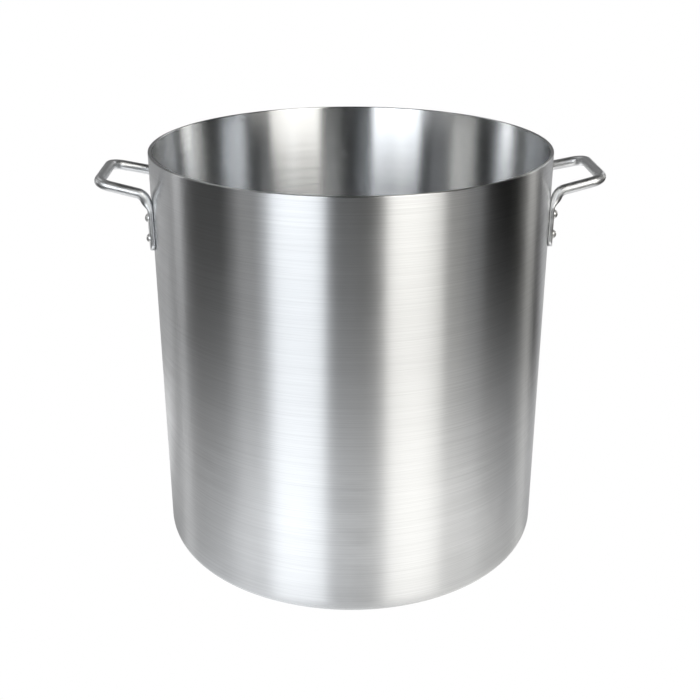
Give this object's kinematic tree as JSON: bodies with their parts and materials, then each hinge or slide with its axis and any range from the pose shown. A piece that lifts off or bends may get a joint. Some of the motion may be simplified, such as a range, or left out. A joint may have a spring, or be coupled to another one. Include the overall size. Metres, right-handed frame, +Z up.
{
  "type": "stock pot",
  "caption": "Open straight-walled aluminium stock pot with a flat base and a riveted round-rod loop handle on each side.",
  "frame": {"origin": "centre of the pot's underside, on the axis of the pot", "axes": "+Z up along the pot's axis to the open rim, +X through the middle of the right handle, +Y to the rear"},
  "size_m": [0.6156, 0.49, 0.52],
  "materials": {
    "spun_aluminium": "satin, brushed round the pot",
    "bent_rod": "satin, drawn rod",
    "rivet_metal": "satin"
  },
  "bodies": {
    "root": {"pot_body": "spun_aluminium", "handle_right": "bent_rod", "handle_left": "bent_rod", "rivet_right_front_upper": "rivet_metal", "rivet_right_front_lower": "rivet_metal", "rivet_right_rear_upper": "rivet_metal", "rivet_right_rear_lower": "rivet_metal", "rivet_left_front_upper": "rivet_metal", "rivet_left_front_lower": "rivet_metal", "rivet_left_rear_upper": "rivet_metal", "rivet_left_rear_lower": "rivet_metal"}
  },
  "joints": []
}
